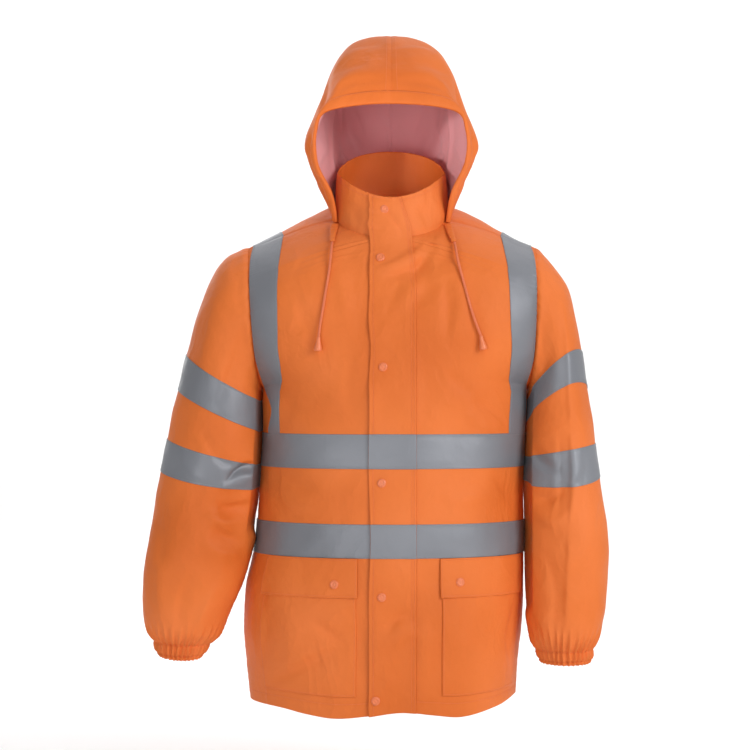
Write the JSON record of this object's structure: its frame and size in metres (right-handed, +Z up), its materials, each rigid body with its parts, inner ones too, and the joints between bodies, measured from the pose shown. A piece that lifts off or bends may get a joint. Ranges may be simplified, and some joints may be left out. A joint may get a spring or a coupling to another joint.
{
  "type": "hooded work jacket",
  "caption": "Hooded orange hi-vis rain jacket with a storm flap, flap pockets, elasticated cuffs and grey reflective tapes, in its hollow worn form.",
  "frame": {"origin": "between the shoulders, level with the sides of the neck seam, where a hanger or a wearer's shoulders would carry the jacket", "axes": "+Z up, the front faces -Y, +X is the wearer's left"},
  "size_m": [0.7148, 0.2986, 1.0431],
  "materials": {
    "shell": "satin coated cloth",
    "lining": "matt",
    "reflective_tape": "satin",
    "plastic": "satin",
    "cord": "matt braid"
  },
  "bodies": {
    "root": {"back": "shell", "brace_left": "reflective_tape", "brace_right": "reflective_tape", "collar": "shell", "cord_end_left": "plastic", "cord_end_right": "plastic", "cord_left": "cord", "cord_right": "cord", "front_left": "shell", "front_right": "shell", "hood_hem": "shell", "hood_left": "shell", "hood_lining_left": "lining", "hood_lining_right": "lining", "hood_right": "shell", "hood_tail_left": "shell", "hood_tail_right": "shell", "hoop_lower": "reflective_tape", "hoop_upper": "reflective_tape", "placket": "shell", "placket_tape_lower": "reflective_tape", "placket_tape_upper": "reflective_tape", "pocket_flap_left": "shell", "pocket_flap_right": "shell", "pocket_left": "shell", "pocket_right": "shell", "pocket_snap_left": "plastic", "pocket_snap_right": "plastic", "sleeve_left": "shell", "sleeve_right": "shell", "sleeve_tape_left_lower": "reflective_tape", "sleeve_tape_left_upper": "reflective_tape", "sleeve_tape_right_lower": "reflective_tape", "sleeve_tape_right_upper": "reflective_tape", "snap_1": "plastic", "snap_2": "plastic", "snap_3": "plastic", "snap_4": "plastic", "snap_5": "plastic", "snap_6": "plastic"}
  },
  "joints": []
}
